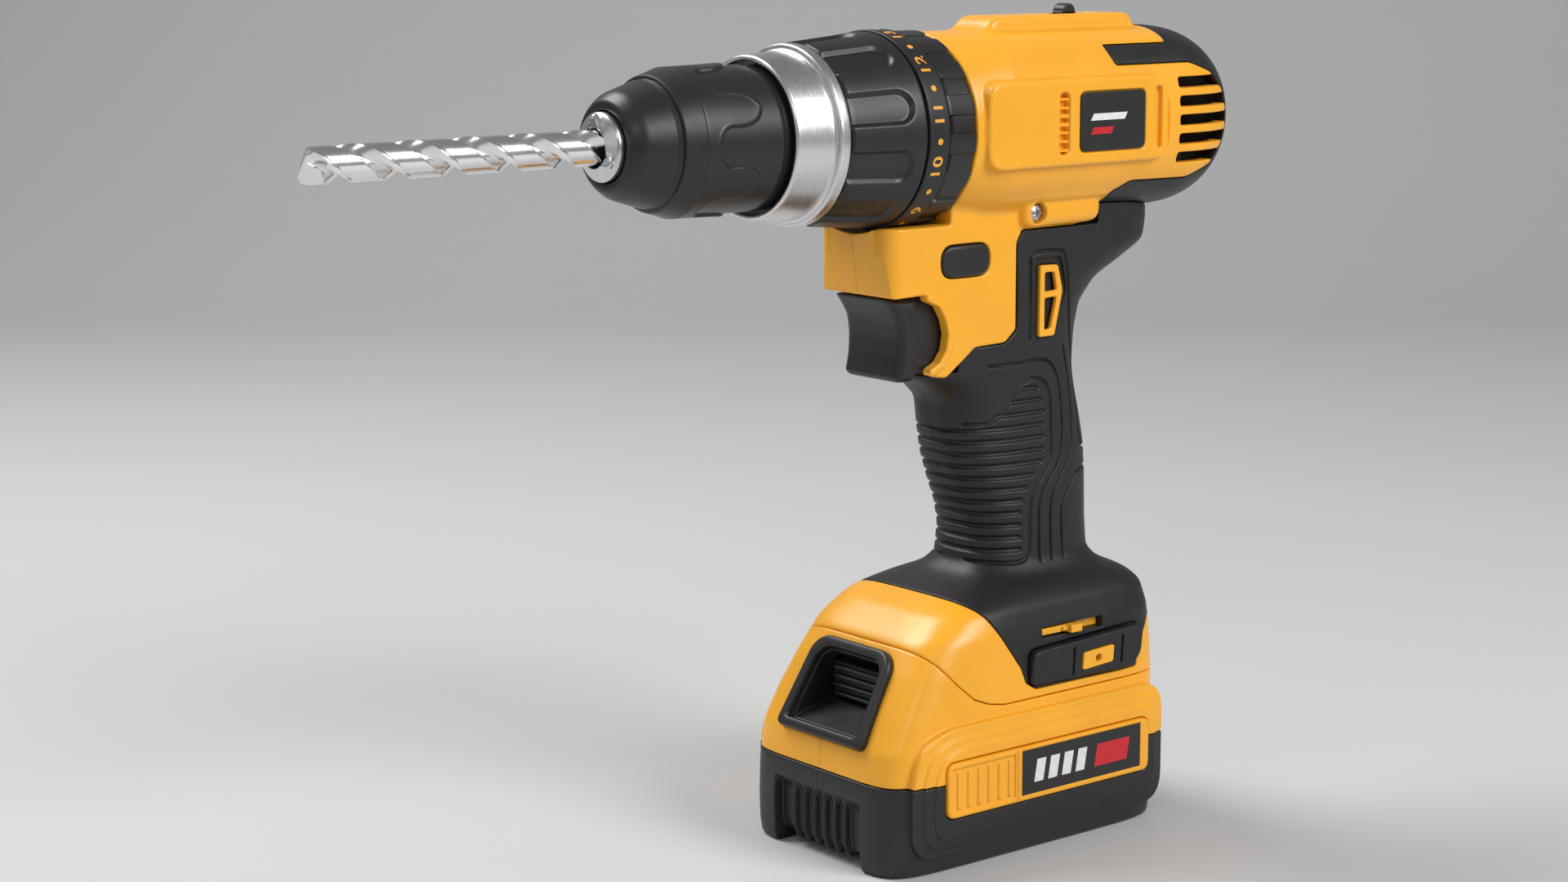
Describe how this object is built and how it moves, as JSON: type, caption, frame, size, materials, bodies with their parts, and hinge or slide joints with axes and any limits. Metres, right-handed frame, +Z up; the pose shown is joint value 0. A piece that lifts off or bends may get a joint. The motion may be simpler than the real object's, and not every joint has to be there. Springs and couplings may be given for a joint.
{
  "type": "cordless drill driver",
  "caption": "Pistol-grip cordless drill driver with a keyless chuck holding a twist bit, a torque collar, a trigger and a slide-off battery pack as its foot.",
  "frame": {"origin": "centre of the battery pack's flat base, on the surface that the drill stands on", "axes": "+Z up, the bit points along -X, the side with the housing screw faces -Y"},
  "size_m": [0.317, 0.076, 0.2466],
  "materials": {
    "yellow_housing": "satin moulded yellow plastic",
    "black_plastic": "satin black plastic",
    "grip_rubber": "soft black overmould",
    "brushed_ring": "brushed steel",
    "bright_steel": "polished steel",
    "plain_steel": "plain steel",
    "cast_case": "die casting",
    "copper_winding": "enamelled winding",
    "carbon": "carbon block",
    "cell_sleeve": "green sleeve over a steel can"
  },
  "bodies": {
    "tool": {"gear_case": "cast_case", "spindle_bearing": "plain_steel", "ring_gear": "plain_steel", "clutch_spring": "plain_steel", "motor_can": "plain_steel", "motor_end_cap": "black_plastic", "brush_upper": "carbon", "brush_lower": "carbon", "housing_left": "yellow_housing", "housing_right": "yellow_housing", "rear_cap": "grip_rubber", "body_badge_left": "black_plastic", "body_badge_right": "black_plastic", "housing_screw": "plain_steel", "switch_module": "black_plastic", "grip_left": "grip_rubber", "grip_right": "grip_rubber", "inlay_left": "yellow_housing", "inlay_right": "yellow_housing", "foot_shell": "yellow_housing", "foot_pad": "black_plastic", "terminal_block": "black_plastic"},
    "spindle_group": {"spindle": "plain_steel", "planet_carrier": "plain_steel", "chuck_screw": "plain_steel", "chuck_body": "bright_steel", "chuck_collar_ring": "brushed_ring"},
    "sleeve": {"chuck_sleeve": "black_plastic", "chuck_nut": "plain_steel"},
    "jaw_1": {"chuck_jaw_1": "plain_steel"},
    "jaw_2": {"chuck_jaw_2": "plain_steel"},
    "jaw_3": {"chuck_jaw_3": "plain_steel"},
    "bit": {"drill_bit": "bright_steel"},
    "rotor": {"armature": "copper_winding", "sun_pinion": "plain_steel", "cooling_fan": "black_plastic"},
    "planet_1": {"planet_gear_1": "plain_steel"},
    "planet_2": {"planet_gear_2": "plain_steel"},
    "planet_3": {"planet_gear_3": "plain_steel"},
    "torque_ring": {"clutch_collar": "black_plastic", "number_ring": "black_plastic"},
    "mode_selector": {"mode_ring": "black_plastic"},
    "trigger": {"trigger": "black_plastic"},
    "direction": {"direction_button": "black_plastic"},
    "speed": {"speed_selector": "black_plastic"},
    "battery": {"battery_upper_case": "yellow_housing", "battery_lower_case": "black_plastic", "latch_frame": "black_plastic", "badge_plate_left": "yellow_housing", "badge_plate_right": "yellow_housing", "cell_pair_1": "cell_sleeve", "cell_pair_2": "cell_sleeve", "cell_pair_3": "cell_sleeve", "cell_pair_4": "cell_sleeve", "cell_pair_5": "cell_sleeve"},
    "release": {"release_button": "black_plastic"},
    "foot_slide": {"foot_slider": "yellow_housing"},
    "foot_press": {"foot_button": "yellow_housing"}
  },
  "joints": [
    {"name": "spindle_spin", "type": "hinge", "parent": "tool", "child": "spindle_group", "pos_m": [0, 0, 0.212], "axis": [1, 0, 0], "continuous": true},
    {"name": "rotor_spin", "type": "hinge", "parent": "tool", "child": "rotor", "pos_m": [0, 0, 0.212], "axis": [1, 0, 0], "continuous": true},
    {"name": "planet_1_spin", "type": "hinge", "parent": "spindle_group", "child": "planet_1", "pos_m": [-0.006, 0, 0.2225], "axis": [1, 0, 0], "continuous": true},
    {"name": "planet_2_spin", "type": "hinge", "parent": "spindle_group", "child": "planet_2", "pos_m": [-0.006, -0.00909, 0.20675], "axis": [1, 0, 0], "continuous": true},
    {"name": "planet_3_spin", "type": "hinge", "parent": "spindle_group", "child": "planet_3", "pos_m": [-0.006, 0.00909, 0.20675], "axis": [1, 0, 0], "continuous": true},
    {"name": "sleeve_turn", "type": "hinge", "parent": "spindle_group", "child": "sleeve", "pos_m": [0, 0, 0.212], "axis": [1, 0, 0], "range_deg": [0, 720]},
    {"name": "jaw_1_slide", "type": "slide", "parent": "spindle_group", "child": "jaw_1", "axis": [0.9781, 0, 0.2079], "range_m": [0, 0.006]},
    {"name": "jaw_2_slide", "type": "slide", "parent": "spindle_group", "child": "jaw_2", "axis": [0.9781, 0.1801, -0.104], "range_m": [0, 0.006]},
    {"name": "jaw_3_slide", "type": "slide", "parent": "spindle_group", "child": "jaw_3", "axis": [0.9781, -0.1801, -0.104], "range_m": [0, 0.006]},
    {"name": "bit_pull", "type": "slide", "parent": "spindle_group", "child": "bit", "axis": [-1, 0, 0], "range_m": [0, 0.045]},
    {"name": "torque_turn", "type": "hinge", "parent": "tool", "child": "torque_ring", "pos_m": [0, 0, 0.212], "axis": [1, 0, 0], "range_deg": [-165, 165]},
    {"name": "mode_turn", "type": "hinge", "parent": "tool", "child": "mode_selector", "pos_m": [0, 0, 0.212], "axis": [1, 0, 0], "range_deg": [-35, 35]},
    {"name": "trigger_pull", "type": "slide", "parent": "tool", "child": "trigger", "axis": [1, 0, 0], "range_m": [0, 0.006], "stiffness_N_per_m": 1200, "springref_m": -0.003},
    {"name": "direction_shift", "type": "slide", "parent": "tool", "child": "direction", "axis": [0, 1, 0], "range_m": [-0.0025, 0.0025]},
    {"name": "speed_shift", "type": "slide", "parent": "tool", "child": "speed", "axis": [1, 0, 0], "range_m": [-0.006, 0.006]},
    {"name": "battery_slide", "type": "slide", "parent": "tool", "child": "battery", "axis": [-1, 0, 0], "range_m": [0, 0.09]},
    {"name": "release_press", "type": "slide", "parent": "battery", "child": "release", "axis": [1, 0, 0], "range_m": [0, 0.003], "stiffness_N_per_m": 1500, "springref_m": -0.001},
    {"name": "foot_slider_shift", "type": "slide", "parent": "tool", "child": "foot_slide", "axis": [1, 0, 0], "range_m": [0, 0.0085]},
    {"name": "foot_button_press", "type": "slide", "parent": "tool", "child": "foot_press", "axis": [0, 1, 0], "range_m": [0, 0.001], "stiffness_N_per_m": 1500, "springref_m": -0.001}
  ],
  "couplings": [
    {"joint": "rotor_spin", "follows": "spindle_spin", "ratio": 4.6667},
    {"joint": "planet_1_spin", "follows": "spindle_spin", "ratio": -2.75},
    {"joint": "planet_2_spin", "follows": "spindle_spin", "ratio": -2.75},
    {"joint": "planet_3_spin", "follows": "spindle_spin", "ratio": -2.75},
    {"joint": "jaw_1_slide", "follows": "sleeve_turn", "m_per_rad": 0.000477},
    {"joint": "jaw_2_slide", "follows": "sleeve_turn", "m_per_rad": 0.000477},
    {"joint": "jaw_3_slide", "follows": "sleeve_turn", "m_per_rad": 0.000477}
  ]
}
